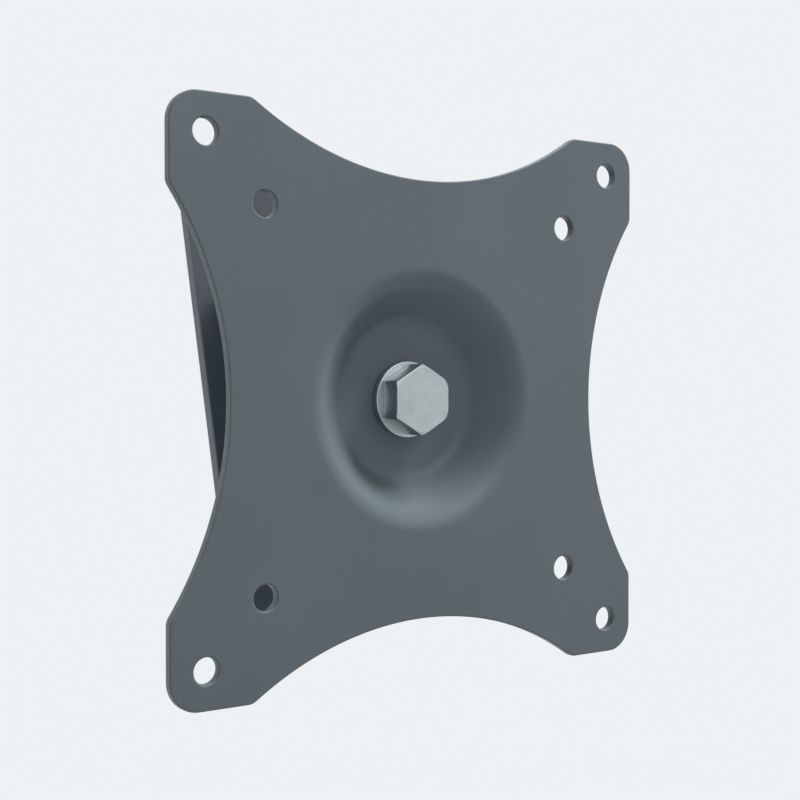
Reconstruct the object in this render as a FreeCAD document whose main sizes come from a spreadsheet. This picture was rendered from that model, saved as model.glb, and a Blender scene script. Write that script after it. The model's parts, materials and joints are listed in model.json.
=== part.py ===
import FreeCAD, Part
import math
import os
from types import SimpleNamespace

import Sketcher

# A low tilting wall mount: a wall plate with a folded yoke, a bracket that tilts in the yoke
# on a through bolt, and a square face plate that turns on one centre bolt.
# The origin is the middle of the wall plate's back face, +Y points into the wall and +Z is up.
# The head is drawn leaning forward against its stop, so it hangs from the pivot at the rest tilt.

# Driving sizes, in millimetres and degrees
SIZES = {
    # How the head leans and how far it can be moved from there
    "rest_tilt": 15,
    "tilt_travel": 30,
    # Flat plate on the wall
    "wall_width": 50,
    "wall_height": 106,
    "wall_thick": 3,
    "wall_corner": 6,
    "wall_hole": 6.5,
    "wall_hole_across": 28,
    "wall_hole_up": 80,
    # Folded yoke on the wall plate, its edges measured from the pivot
    "yoke_thick": 2.5,
    "yoke_bend": 2.5,
    "yoke_foot_up": 30,
    "yoke_foot_down": 24,
    "yoke_nose": 12,
    "yoke_brow": 26,
    "yoke_brow_round": 12,
    "yoke_chin": 14,
    "yoke_chin_round": 11,
    "pivot_drop": 7,
    # Folded bracket that tilts inside the yoke
    "bracket_width": 31,
    "bracket_height": 44,
    "bracket_thick": 2.5,
    "bracket_bend": 2.5,
    "bracket_corner": 5,
    "pivot_lobe": 10,
    "lock_radius": 17,
    "lock_lobe": 7.5,
    # Pressed face plate
    "plate_size": 115,
    "plate_thick": 2,
    "plate_corner": 6,
    "plate_waist": 90,
    "scallop_round": 71,
    "scallop_blend": 3,
    "pattern_large": 100,
    "pattern_small": 75,
    "screw_hole": 5.2,
    "dish_mouth": 49,
    "dish_base": 33,
    "dish_depth": 7.8,
    "dish_lip_round": 7,
    "dish_floor_round": 5,
    "dish_land": 1,
    # Centre bolt with its washers, spring and nut
    "centre_thread": 8,
    "centre_flats": 13,
    "centre_head": 5.3,
    "centre_washer_wide": 16,
    "centre_washer_thick": 1.6,
    "centre_nut_high": 8,
    "disc_wide": 27,
    "disc_thick": 1.5,
    "spring_thick": 0.8,
    "spring_rise": 0.4,
    # Pivot and lock bolts with their washers, nuts and sleeves
    "side_thread": 6,
    "side_flats": 10,
    "side_head": 4,
    "side_washer_wide": 12,
    "side_washer_thick": 1.6,
    "side_nut_high": 6,
    "sleeve_wide": 9,
    "pivot_friction_wide": 16,
    "lock_friction_wide": 12,
    "friction_thick": 1,
    # Shares of a fastener's own form
    "bolt_proud": 1.3,
    "bolt_point": 0.8,
    "corner_cut": 0.75,
    "insert_thick": 1.8,
    "collar_lip": 0.6,
    "collar_round": 0.8,
    # Clearances
    "turning_gap": 0.1,
    "thread_gap": 0.1,
    "washer_gap": 0.2,
    "slot_gap": 0.2,
    "sleeve_gap": 1,
    "swing_gap": 2.1,
}


class Size:
    """A number together with the formula that the document keeps for it."""

    def __init__(self, value, formula):
        self.value = value
        self.formula = formula

    def __add__(self, other):
        other = as_size(other)
        return Size(self.value + other.value, f"({self.formula} + {other.formula})")

    def __sub__(self, other):
        other = as_size(other)
        return Size(self.value - other.value, f"({self.formula} - {other.formula})")

    def __mul__(self, other):
        other = as_size(other)
        return Size(self.value * other.value, f"({self.formula} * {other.formula})")

    def __truediv__(self, other):
        other = as_size(other)
        return Size(self.value / other.value, f"({self.formula} / {other.formula})")

    def __neg__(self):
        return Size(-self.value, f"(0 - {self.formula})")


def as_size(number):
    """A plain number as a Size, and a Size as it is."""
    if isinstance(number, Size):
        return number
    return Size(number, str(number))


def sine(angle):
    return Size(math.sin(math.radians(angle.value)), f"sin({angle.formula})")


def cosine(angle):
    return Size(math.cos(math.radians(angle.value)), f"cos({angle.formula})")


def root(square):
    return Size(math.sqrt(square.value), f"sqrt({square.formula})")


ZERO = as_size(0)

doc = FreeCAD.newDocument("tilting_mount")
sheet = doc.addObject("Spreadsheet::Sheet", "Sheet")
for row, (alias, number) in enumerate(SIZES.items(), start=1):
    sheet.set(f"A{row}", alias)
    sheet.set(f"B{row}", str(number))
    sheet.setAlias(f"B{row}", alias)
doc.recompute()
S = SimpleNamespace(**{alias: Size(number, f"Sheet.{alias}") for alias, number in SIZES.items()})

# Stack along the centre bolt, measured from the face plate's front towards the wall
HEAD_SEAT = S.dish_depth - S.centre_washer_thick
DISH_BACK = S.dish_depth + S.plate_thick
WEB_FRONT = DISH_BACK + S.disc_thick
WEB_BACK = WEB_FRONT + S.bracket_thick
SPRING_SEAT = WEB_BACK + S.centre_washer_thick
SPRING_HIGH = S.spring_thick + S.spring_rise
NUT_SEAT = SPRING_SEAT + SPRING_HIGH
NUT_END = NUT_SEAT + S.centre_nut_high
BOLT_END = NUT_END + S.bolt_proud
PIVOT_DEPTH = BOLT_END + S.sleeve_gap + S.sleeve_wide / 2

# Stack along the pivot, half widths measured from the middle
FLANGE_IN = S.bracket_width / 2 - S.bracket_thick
FLANGE_OUT = S.bracket_width / 2
CHEEK_IN = FLANGE_OUT + S.friction_thick
CHEEK_OUT = CHEEK_IN + S.yoke_thick
SIDE_SEAT = CHEEK_OUT + S.side_washer_thick
SIDE_NUT_END = SIDE_SEAT + S.side_nut_high
SIDE_BOLT_END = SIDE_NUT_END + S.bolt_proud

# Where the pivot stands, far enough from the wall for the lock lobe to swing past the yoke
HALF_TRAVEL = S.tilt_travel / 2
LOCK_SWING = S.lock_radius * sine(HALF_TRAVEL)
PIVOT_STAND_OFF = S.wall_thick + S.yoke_thick + LOCK_SWING + S.lock_lobe + S.swing_gap
PIVOT_Y = -PIVOT_STAND_OFF
PIVOT_Z = -S.pivot_drop
FACE_Y = PIVOT_Y - PIVOT_DEPTH * cosine(S.rest_tilt)
FACE_Z = PIVOT_Z - PIVOT_DEPTH * sine(S.rest_tilt)

# Round sizes that several pieces share
CENTRE_BORE = S.centre_thread / 2 + S.turning_gap
CENTRE_EYE = S.centre_thread / 2 + S.washer_gap
SIDE_BORE = S.side_thread / 2 + S.turning_gap
SIDE_EYE = S.side_thread / 2 + S.washer_gap
SLOT_HALF = S.side_thread / 2 + S.slot_gap

# Fixed angles and counts of the forms themselves
FULL_TURN = 360
HEX_CORNER = 1 / math.cos(math.pi / 6)
CHAMFER_SLOPE = math.tan(math.radians(30))
PLATE_SIDES = 4
# A trim sheet reaches this many times past the piece that it trims
TRIM_REACH = 2
# An edge counts as found within this share of the blend that it gets
EDGE_MATCH = 0.1

pieces = []


def new_piece(label, y, z, tilt):
    """An empty body that stands at (0, y, z) and leans forward by a tilt angle."""
    body = doc.addObject("PartDesign::Body", label)
    body.Label = label
    place = f"vector(0; {y.formula}; {z.formula})"
    body.setExpression("Placement", f"placement({place}; rotation(vector(1; 0; 0); {tilt.formula}))")
    pieces.append(body)
    return body


def wall_piece(label):
    """A piece drawn from the wall plate's origin."""
    return new_piece(label, ZERO, ZERO, ZERO)


def head_piece(label):
    """A piece drawn from the middle of the face plate's front, and tilted with it."""
    return new_piece(label, FACE_Y, FACE_Z, S.rest_tilt)


def pivot_piece(label):
    """A piece drawn from the middle of the pivot axis, square to the wall."""
    return new_piece(label, PIVOT_Y, PIVOT_Z, ZERO)


def tilted_piece(label):
    """A piece drawn from the middle of the pivot axis, and tilted with the head."""
    return new_piece(label, PIVOT_Y, PIVOT_Z, S.rest_tilt)


def lock_piece(label):
    """A piece drawn from the middle of the lock bolt's axis, and tilted with the head."""
    lock_y = PIVOT_Y - S.lock_radius * sine(S.rest_tilt)
    lock_z = PIVOT_Z + S.lock_radius * cosine(S.rest_tilt)
    return new_piece(label, lock_y, lock_z, S.rest_tilt)


def origin_part(body, role):
    """One of a body's own planes or axes."""
    return next(item for item in body.Origin.OriginFeatures if item.Role == role)


def new_sketch(body, role):
    """A sketch on one of the body's own planes."""
    sketch = body.newObject("Sketcher::SketchObject", "Sketch")
    sketch.AttachmentSupport = [(origin_part(body, role), "")]
    sketch.MapMode = "FlatFace"
    return sketch


def tie(sketch, kind, *target):
    """Add a constraint whose last item is a Size, and keep its formula."""
    index = sketch.addConstraint(Sketcher.Constraint(kind, *target[:-1], target[-1].value))
    sketch.setExpression(f"Constraints[{index}]", target[-1].formula)


def pin(sketch, geometry, point, across, up):
    """Fix a point of the sketch at (across, up)."""
    for kind, axis, place in (("DistanceX", -2, across), ("DistanceY", -1, up)):
        if place is ZERO:
            sketch.addConstraint(Sketcher.Constraint("PointOnObject", geometry, point, axis))
        else:
            tie(sketch, kind, geometry, point, place)


def circle(sketch, across, up, radius):
    """A circle with its middle at (across, up)."""
    middle = FreeCAD.Vector(across.value, up.value, 0)
    index = sketch.addGeometry(Part.Circle(middle, FreeCAD.Vector(0, 0, 1), radius.value))
    pin(sketch, index, 3, across, up)
    tie(sketch, "Radius", index, radius)


def arc_between(middle, radius, start, end):
    """The arc that runs anticlockwise from one point to another."""
    whole = Part.Circle(middle, FreeCAD.Vector(0, 0, 1), radius)
    return Part.ArcOfCircle(whole, whole.parameter(start), whole.parameter(end))


def outline(sketch, corners):
    """A closed outline of straight lines whose corners are (across, up) or (across, up, round)."""
    count = len(corners)
    points = [FreeCAD.Vector(corner[0].value, corner[1].value, 0) for corner in corners]
    arrivals = list(points)
    leavings = list(points)
    arcs = {}
    for i, corner in enumerate(corners):
        if len(corner) == 2:
            continue
        back = (points[i - 1] - points[i]).normalize()
        ahead = (points[(i + 1) % count] - points[i]).normalize()
        half_angle = back.getAngle(ahead) / 2
        radius = corner[2].value
        arrivals[i] = points[i] + back * (radius / math.tan(half_angle))
        leavings[i] = points[i] + ahead * (radius / math.tan(half_angle))
        middle = points[i] + (back + ahead).normalize() * (radius / math.sin(half_angle))
        left_turn = ahead.cross(back).z > 0
        first, last = (arrivals[i], leavings[i]) if left_turn else (leavings[i], arrivals[i])
        arcs[i] = (arc_between(middle, radius, first, last), left_turn)
    lines = []
    for i in range(count):
        lines.append(sketch.addGeometry(Part.LineSegment(leavings[i], arrivals[(i + 1) % count])))
    for i, corner in enumerate(corners):
        before = lines[i - 1]
        after = lines[i]
        if i not in arcs:
            sketch.addConstraint(Sketcher.Constraint("Coincident", before, 2, after, 1))
            pin(sketch, after, 1, corner[0], corner[1])
            continue
        bend, left_turn = arcs[i]
        arc = sketch.addGeometry(bend)
        mark = sketch.addGeometry(Part.Point(points[i]), True)
        pin(sketch, mark, 1, corner[0], corner[1])
        sketch.addConstraint(Sketcher.Constraint("PointOnObject", mark, 1, before))
        sketch.addConstraint(Sketcher.Constraint("PointOnObject", mark, 1, after))
        arc_start, arc_end = (1, 2) if left_turn else (2, 1)
        sketch.addConstraint(Sketcher.Constraint("Tangent", before, 2, arc, arc_start))
        sketch.addConstraint(Sketcher.Constraint("Tangent", arc, arc_end, after, 1))
        tie(sketch, "Radius", arc, corner[2])


def rectangle(sketch, low, high):
    """An upright rectangle between two opposite corners."""
    outline(sketch, [(low[0], low[1]), (high[0], low[1]), (high[0], high[1]), (low[0], high[1])])


def pad(body, sketch, length, reverse=False, both_ways=False):
    """Raise a solid from a sketch."""
    feature = body.newObject("PartDesign::Pad", "Pad")
    feature.Profile = sketch
    feature.setExpression("Length", length.formula)
    feature.Reversed = reverse
    feature.SideType = "Symmetric" if both_ways else "One side"
    return feature


def cut_through(body, sketch):
    """Cut a sketch through the whole piece, on both sides of its plane."""
    feature = body.newObject("PartDesign::Pocket", "Pocket")
    feature.Profile = sketch
    feature.Type = "ThroughAll"
    feature.SideType = "Symmetric"
    return feature


def revolve(body, sketch):
    """Turn a sketch a full turn about its own horizontal axis."""
    feature = body.newObject("PartDesign::Revolution", "Revolution")
    feature.Profile = sketch
    feature.ReferenceAxis = (sketch, ["H_Axis"])
    feature.Angle = FULL_TURN
    return feature


# A turned piece is drawn on the first plane with its axis across the sketch,
# and seen end on in the second plane.
ALONG_BOLT = ("YZ_Plane", "XZ_Plane")
ALONG_PIVOT = ("XY_Plane", "YZ_Plane")


def ring(body, way, start, end, inner, outer):
    """A washer, disc or sleeve from one place on its axis to another."""
    sketch = new_sketch(body, way[0])
    rectangle(sketch, (start, inner), (end, outer))
    revolve(body, sketch)


def hex_corner(flats):
    """How far a hexagon's corners lie from its middle."""
    return flats / 2 * HEX_CORNER


def hex_face(flats):
    """Radius of the round edge where the chamfer on a hexagon's corners ends."""
    corner = hex_corner(flats)
    return corner - (corner - flats / 2) * S.corner_cut


def hexagon_cut(body, way, flats):
    """Cut the six flats of a bolt head or nut, with a corner pointing up the sketch."""
    half = flats / 2
    corner = hex_corner(flats)
    shoulder = corner / 2
    sketch = new_sketch(body, way[1])
    outline(sketch, [
        (half, -shoulder),
        (half, shoulder),
        (ZERO, corner),
        (-half, shoulder),
        (-half, -shoulder),
        (ZERO, -corner),
    ])
    circle(sketch, ZERO, ZERO, flats)
    cut_through(body, sketch)


def hex_bolt(body, way, seat, end, thread, flats, head):
    """A hex bolt: its head in front of the seat and its plain shank from there to its end."""
    front = seat - head
    corner = hex_corner(flats)
    face = hex_face(flats)
    shank = thread / 2
    sketch = new_sketch(body, way[0])
    outline(sketch, [
        (front, ZERO),
        (front, face),
        (front + (corner - face) * CHAMFER_SLOPE, corner),
        (seat, corner),
        (seat, shank),
        (end - S.bolt_point, shank),
        (end, shank - S.bolt_point),
        (end, ZERO),
    ])
    revolve(body, sketch)
    hexagon_cut(body, way, flats)


def nut_sizes(thread, flats, seat, high):
    """Places that a lock nut and its nylon ring share."""
    sizes = SimpleNamespace()
    sizes.end = seat + high
    sizes.ring_end = sizes.end - S.collar_lip
    sizes.ring_start = sizes.ring_end - S.insert_thick
    sizes.bore = thread / 2 + S.thread_gap
    sizes.ring_out = flats / 2 - S.collar_lip * 2
    sizes.collar = flats / 2 - S.collar_lip / 2
    return sizes


def lock_nut(body, way, seat, thread, flats, high):
    """A hex nut with a rounded collar that is rolled over a nylon ring."""
    place = nut_sizes(thread, flats, seat, high)
    corner = hex_corner(flats)
    face = hex_face(flats)
    chamfer = (corner - face) * CHAMFER_SLOPE
    hex_end = place.ring_start
    sketch = new_sketch(body, way[0])
    outline(sketch, [
        (seat, place.bore),
        (seat, face),
        (seat + chamfer, corner),
        (hex_end - chamfer, corner),
        (hex_end, place.collar),
        (place.end, place.collar, S.collar_round),
        (place.end, place.bore + S.collar_lip),
        (place.ring_end, place.bore + S.collar_lip),
        (place.ring_end, place.ring_out),
        (place.ring_start, place.ring_out),
        (place.ring_start, place.bore),
    ])
    revolve(body, sketch)
    hexagon_cut(body, way, flats)


def nut_insert(body, way, seat, thread, flats, high):
    """The nylon ring inside a lock nut's collar."""
    place = nut_sizes(thread, flats, seat, high)
    ring(body, way, place.ring_start, place.ring_end, place.bore, place.ring_out)


def folded_channel(body, web_start, web_thick, arm_end, half_width, sheet_thick, bend, high):
    """A U of sheet seen from above: a web across and two arms that run back along Y, padded upright."""
    web_end = web_start + web_thick
    half_inside = half_width - sheet_thick
    sketch = new_sketch(body, "XY_Plane")
    outline(sketch, [
        (-half_width, web_start, bend + sheet_thick),
        (half_width, web_start, bend + sheet_thick),
        (half_width, arm_end),
        (half_inside, arm_end),
        (half_inside, web_end, bend),
        (-half_inside, web_end, bend),
        (-half_inside, arm_end),
        (-half_width, arm_end),
    ])
    pad(body, sketch, high, both_ways=True)


def trim_to(body, corners, reach):
    """Cut away all that lies outside a side outline."""
    sketch = new_sketch(body, "YZ_Plane")
    outline(sketch, corners)
    rectangle(sketch, (-reach, -reach), (reach, reach))
    cut_through(body, sketch)


# Wall plate: flat, with round corners and four screw holes
wall_plate = wall_piece("wall_plate")
blank = new_sketch(wall_plate, "XZ_Plane")
wall_side = S.wall_width / 2
wall_end = S.wall_height / 2
outline(blank, [
    (-wall_side, -wall_end, S.wall_corner),
    (wall_side, -wall_end, S.wall_corner),
    (wall_side, wall_end, S.wall_corner),
    (-wall_side, wall_end, S.wall_corner),
])
pad(wall_plate, blank, S.wall_thick)
holes = new_sketch(wall_plate, "XZ_Plane")
for side in (-1, 1):
    for end in (-1, 1):
        circle(holes, S.wall_hole_across / 2 * side, S.wall_hole_up / 2 * end, S.wall_hole / 2)
cut_through(wall_plate, holes)

# Wall yoke: web on the wall plate, two cheeks forward, each with a pivot hole and a curved slot
wall_yoke = pivot_piece("wall_yoke")
yoke_back = PIVOT_STAND_OFF - S.wall_thick
yoke_reach = (S.yoke_foot_up + S.yoke_foot_down) * TRIM_REACH
folded_channel(wall_yoke, yoke_back, -S.yoke_thick, -S.yoke_nose, CHEEK_OUT, S.yoke_thick,
               S.yoke_bend, yoke_reach)
trim_to(wall_yoke, [
    (yoke_back, -S.yoke_foot_down),
    (yoke_back, S.yoke_foot_up),
    (-S.yoke_nose, S.yoke_brow, S.yoke_brow_round),
    (-S.yoke_nose, -S.yoke_chin, S.yoke_chin_round),
], yoke_reach)


def curved_slot(sketch):
    """A slot of round ends about the pivot, wide enough for the lock bolt over its whole travel."""
    middle = FreeCAD.Vector(0, 0, 0)
    across = S.lock_radius * sine(HALF_TRAVEL)
    up = S.lock_radius * cosine(HALF_TRAVEL)
    right = FreeCAD.Vector(across.value, up.value, 0)
    left = FreeCAD.Vector(-across.value, up.value, 0)
    half = SLOT_HALF.value
    out = 1 + half / S.lock_radius.value
    inn = 1 - half / S.lock_radius.value
    outer = sketch.addGeometry(arc_between(middle, S.lock_radius.value + half, right * out, left * out))
    inner = sketch.addGeometry(arc_between(middle, S.lock_radius.value - half, right * inn, left * inn))
    near = sketch.addGeometry(arc_between(right, half, right * inn, right * out))
    far = sketch.addGeometry(arc_between(left, half, left * out, left * inn))
    pin(sketch, outer, 3, ZERO, ZERO)
    sketch.addConstraint(Sketcher.Constraint("Coincident", inner, 3, outer, 3))
    pin(sketch, near, 3, across, up)
    tie(sketch, "Radius", near, SLOT_HALF)
    tie(sketch, "DistanceX", far, 3, -across)
    sketch.addConstraint(Sketcher.Constraint("Tangent", near, 2, outer, 1))
    sketch.addConstraint(Sketcher.Constraint("Tangent", outer, 2, far, 1))
    sketch.addConstraint(Sketcher.Constraint("Tangent", far, 2, inner, 2))
    sketch.addConstraint(Sketcher.Constraint("Tangent", inner, 1, near, 1))


slots = new_sketch(wall_yoke, "YZ_Plane")
curved_slot(slots)
circle(slots, ZERO, ZERO, SIDE_BORE)
cut_through(wall_yoke, slots)

# Tilt bracket: web behind the dish, two flanges back to the pivot and up to the lock bolt
tilt_bracket = tilted_piece("tilt_bracket")
web_start = WEB_FRONT - PIVOT_DEPTH
web_half = S.bracket_height / 2
bracket_reach = S.bracket_height * TRIM_REACH
lobe_top = S.lock_radius + S.lock_lobe
folded_channel(tilt_bracket, web_start, S.bracket_thick, S.pivot_lobe, FLANGE_OUT, S.bracket_thick,
               S.bracket_bend, bracket_reach)
trim_to(tilt_bracket, [
    (web_start, -web_half),
    (web_start, web_half),
    (-S.lock_lobe, lobe_top, S.bracket_corner),
    (S.lock_lobe, lobe_top, S.bracket_corner),
    (S.pivot_lobe, ZERO, S.pivot_lobe),
    (S.pivot_lobe, -S.pivot_lobe, S.bracket_corner),
], bracket_reach)
side_holes = new_sketch(tilt_bracket, "YZ_Plane")
circle(side_holes, ZERO, ZERO, SIDE_BORE)
circle(side_holes, ZERO, S.lock_radius, SIDE_EYE)
cut_through(tilt_bracket, side_holes)
web_hole = new_sketch(tilt_bracket, "XZ_Plane")
circle(web_hole, ZERO, ZERO, CENTRE_EYE)
cut_through(tilt_bracket, web_hole)

# Face plate: square blank, a scallop in each side, a pressed dish and two hole patterns
face_plate = head_piece("face_plate")
plate_half = S.plate_size / 2
square = new_sketch(face_plate, "XZ_Plane")
outline(square, [
    (-plate_half, -plate_half, S.plate_corner),
    (plate_half, -plate_half, S.plate_corner),
    (plate_half, plate_half, S.plate_corner),
    (-plate_half, plate_half, S.plate_corner),
])
pad(face_plate, square, S.plate_thick, reverse=True)
scallop = new_sketch(face_plate, "XZ_Plane")
circle(scallop, ZERO, S.plate_waist / 2 + S.scallop_round, S.scallop_round)
scallop_cut = cut_through(face_plate, scallop)
four_scallops = face_plate.newObject("PartDesign::PolarPattern", "FourScallops")
four_scallops.Originals = [scallop_cut]
four_scallops.Axis = (origin_part(face_plate, "Y_Axis"), [""])
four_scallops.Angle = FULL_TURN
four_scallops.Occurrences = PLATE_SIDES
face_plate.Tip = four_scallops
doc.recompute()


def scallop_ends(shape):
    """Names of the edges where a scallop meets a straight side."""
    drop = S.scallop_round.value - (plate_half.value - S.plate_waist.value / 2)
    reach = math.sqrt(S.scallop_round.value ** 2 - drop ** 2)
    names = []
    for number, edge in enumerate(shape.Edges, start=1):
        ends = [vertex.Point for vertex in edge.Vertexes]
        upright = len(ends) == 2 and abs(ends[0].y - ends[1].y) > S.plate_thick.value / 2
        places = sorted((abs(ends[0].x), abs(ends[0].z)))
        if upright and math.dist(places, (reach, plate_half.value)) < S.scallop_blend.value * EDGE_MATCH:
            names.append(f"Edge{number}")
    return names


blends = face_plate.newObject("PartDesign::Fillet", "Blends")
blends.Base = (four_scallops, scallop_ends(four_scallops.Shape))
blends.setExpression("Radius", S.scallop_blend.formula)
face_plate.Tip = blends

# The dish is one sheet bent twice, so its back follows its front at the plate's thickness
mouth = S.dish_mouth / 2
base = S.dish_base / 2
run = mouth - base
half_turn = (root(run * run + S.dish_depth * S.dish_depth) - run) / S.dish_depth
spread = S.plate_thick * half_turn
rim = mouth + S.dish_lip_round * half_turn + S.dish_land
opening = new_sketch(face_plate, "XZ_Plane")
circle(opening, ZERO, ZERO, rim)
cut_through(face_plate, opening)
section = new_sketch(face_plate, "YZ_Plane")
outline(section, [
    (ZERO, rim),
    (ZERO, mouth, S.dish_lip_round),
    (S.dish_depth, base, S.dish_floor_round),
    (S.dish_depth, CENTRE_BORE),
    (DISH_BACK, CENTRE_BORE),
    (DISH_BACK, base + spread, S.dish_floor_round + S.plate_thick),
    (S.plate_thick, mouth + spread, S.dish_lip_round - S.plate_thick),
    (S.plate_thick, rim),
])
revolve(face_plate, section)
screw_holes = new_sketch(face_plate, "XZ_Plane")
for pattern in (S.pattern_large, S.pattern_small):
    for side in (-1, 1):
        for end in (-1, 1):
            circle(screw_holes, pattern / 2 * side, pattern / 2 * end, S.screw_hole / 2)
cut_through(face_plate, screw_holes)

# Centre bolt and what it holds, from the dish back to the nut
CENTRE = (S.centre_thread, S.centre_flats)
hex_bolt(head_piece("centre_bolt"), ALONG_BOLT, HEAD_SEAT, BOLT_END, *CENTRE, S.centre_head)
centre_wide = S.centre_washer_wide / 2
ring(head_piece("centre_washer"), ALONG_BOLT, HEAD_SEAT, S.dish_depth, CENTRE_EYE, centre_wide)
ring(head_piece("friction_disc"), ALONG_BOLT, DISH_BACK, WEB_FRONT, CENTRE_EYE, S.disc_wide / 2)
ring(head_piece("rear_washer"), ALONG_BOLT, WEB_BACK, SPRING_SEAT, CENTRE_EYE, centre_wide)

disc_spring = head_piece("disc_spring")
cone = new_sketch(disc_spring, "YZ_Plane")
outline(cone, [
    (SPRING_SEAT, centre_wide),
    (SPRING_SEAT + S.spring_rise, CENTRE_EYE),
    (NUT_SEAT, CENTRE_EYE),
    (SPRING_SEAT + S.spring_thick, centre_wide),
])
revolve(disc_spring, cone)
lock_nut(head_piece("centre_nut"), ALONG_BOLT, NUT_SEAT, *CENTRE, S.centre_nut_high)
nut_insert(head_piece("centre_nut_insert"), ALONG_BOLT, NUT_SEAT, *CENTRE, S.centre_nut_high)

# The pivot and lock bolts hold the same kinds of pieces, from the left head to the right nut
SIDE = (S.side_thread, S.side_flats)
side_wide = S.side_washer_wide / 2


def bolt_set(name, place, sleeve_place, friction_wide):
    """A through bolt with its outer washers, friction washers, sleeve and lock nut."""
    hex_bolt(place(f"{name}_bolt"), ALONG_PIVOT, -SIDE_SEAT, SIDE_BOLT_END, *SIDE, S.side_head)
    ring(place(f"{name}_head_washer"), ALONG_PIVOT, -SIDE_SEAT, -CHEEK_OUT, SIDE_EYE, side_wide)
    ring(place(f"{name}_nut_washer"), ALONG_PIVOT, CHEEK_OUT, SIDE_SEAT, SIDE_EYE, side_wide)
    ring(place(f"{name}_friction_left"), ALONG_PIVOT, -CHEEK_IN, -FLANGE_OUT, SIDE_EYE, friction_wide / 2)
    ring(place(f"{name}_friction_right"), ALONG_PIVOT, FLANGE_OUT, CHEEK_IN, SIDE_EYE, friction_wide / 2)
    ring(sleeve_place(f"{name}_sleeve"), ALONG_PIVOT, -FLANGE_IN, FLANGE_IN, SIDE_EYE, S.sleeve_wide / 2)
    lock_nut(place(f"{name}_nut"), ALONG_PIVOT, SIDE_SEAT, *SIDE, S.side_nut_high)
    nut_insert(place(f"{name}_nut_insert"), ALONG_PIVOT, SIDE_SEAT, *SIDE, S.side_nut_high)


bolt_set("pivot", pivot_piece, tilted_piece, S.pivot_friction_wide)
bolt_set("lock", lock_piece, lock_piece, S.lock_friction_wide)

# Every object has to be sound before any piece is written
doc.recompute()
for item in doc.Objects:
    if "Invalid" in item.State or "Error" in item.State:
        raise RuntimeError(f"{item.Label} ({item.TypeId}) did not build: {item.State}")
for body in pieces:
    if body.Shape.isNull() or not body.Shape.isValid():
        raise RuntimeError(f"{body.Label} is not a sound shape")
    if len(body.Shape.Solids) != 1:
        raise RuntimeError(f"{body.Label} is {len(body.Shape.Solids)} solids instead of one")

os.makedirs("parts", exist_ok=True)
for body in pieces:
    body.Shape.exportStep(f"parts/{body.Label}.step")
    print(body.Label, round(body.Shape.Volume, 1), "cubic millimetres")
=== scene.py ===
# %% [markdown]
# # A tilting wall mount, dressed for its picture
#
# The mount is a square steel plate with scalloped sides. It turns on one bolt in a pressed dish,
# and that bolt sits in a bracket that tilts inside a yoke on the wall plate. Its pieces already
# exist as exact solids, with exact places. This lesson gives each of them its finish: soft
# edges on the sheet metal, real flats and threads on the fasteners, paint, zinc and nylon.

import json
import math

import bmesh
import bpy
import numpy as np
from mathutils import Matrix, Vector

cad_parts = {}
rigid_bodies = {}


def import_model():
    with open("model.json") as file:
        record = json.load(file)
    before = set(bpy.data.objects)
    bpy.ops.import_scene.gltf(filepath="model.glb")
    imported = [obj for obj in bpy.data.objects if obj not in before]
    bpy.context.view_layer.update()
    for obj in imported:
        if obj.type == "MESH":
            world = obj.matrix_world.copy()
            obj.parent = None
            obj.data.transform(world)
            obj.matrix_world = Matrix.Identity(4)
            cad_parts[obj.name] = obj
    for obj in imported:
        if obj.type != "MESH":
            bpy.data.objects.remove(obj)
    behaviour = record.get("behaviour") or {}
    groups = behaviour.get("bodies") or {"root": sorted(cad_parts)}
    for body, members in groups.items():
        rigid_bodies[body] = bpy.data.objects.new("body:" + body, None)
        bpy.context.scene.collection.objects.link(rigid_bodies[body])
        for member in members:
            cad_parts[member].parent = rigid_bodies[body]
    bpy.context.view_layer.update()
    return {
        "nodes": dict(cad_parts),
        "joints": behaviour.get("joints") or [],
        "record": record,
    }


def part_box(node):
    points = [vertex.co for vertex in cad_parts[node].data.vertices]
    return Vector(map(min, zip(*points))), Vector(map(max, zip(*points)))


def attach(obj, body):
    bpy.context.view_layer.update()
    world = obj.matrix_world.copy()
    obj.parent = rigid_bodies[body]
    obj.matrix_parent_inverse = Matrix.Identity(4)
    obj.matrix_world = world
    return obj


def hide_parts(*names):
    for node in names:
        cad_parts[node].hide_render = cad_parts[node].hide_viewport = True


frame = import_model()
MM = 0.001

# %% [markdown]
# ## Where things are
#
# The two joints say where everything is. The tilt joint lies on the pivot bolt. The turn joint
# starts in the middle of the plate's front and points at the viewer, so it also says how far the
# head leans. A matrix for each axis lets every turned piece be drawn upright about its own Z axis,
# and then be set down where it belongs.

# %% Axes of the head, the pivot and the lock bolt
joints = {joint["name"]: joint for joint in frame["joints"]}
pivot_point = Vector(joints["tilt"]["pos_m"])
face_point = Vector(joints["turn"]["pos_m"])
face_normal = Vector(joints["turn"]["axis"]).normalized()
across = Vector((1, 0, 0))
inward = Vector((0, 1, 0))
upward = Vector((0, 0, 1))
head_up = face_normal.cross(across).normalized()


def axes_matrix(x_axis, y_axis, z_axis, origin):
    """The matrix whose columns are three axes and an origin."""
    turn = Matrix((x_axis, y_axis, z_axis)).transposed().to_4x4()
    return Matrix.Translation(origin) @ turn


lock_low, lock_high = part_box("lock_bolt")
lock_point = (lock_low + lock_high) / 2
lock_point.x = 0

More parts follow.
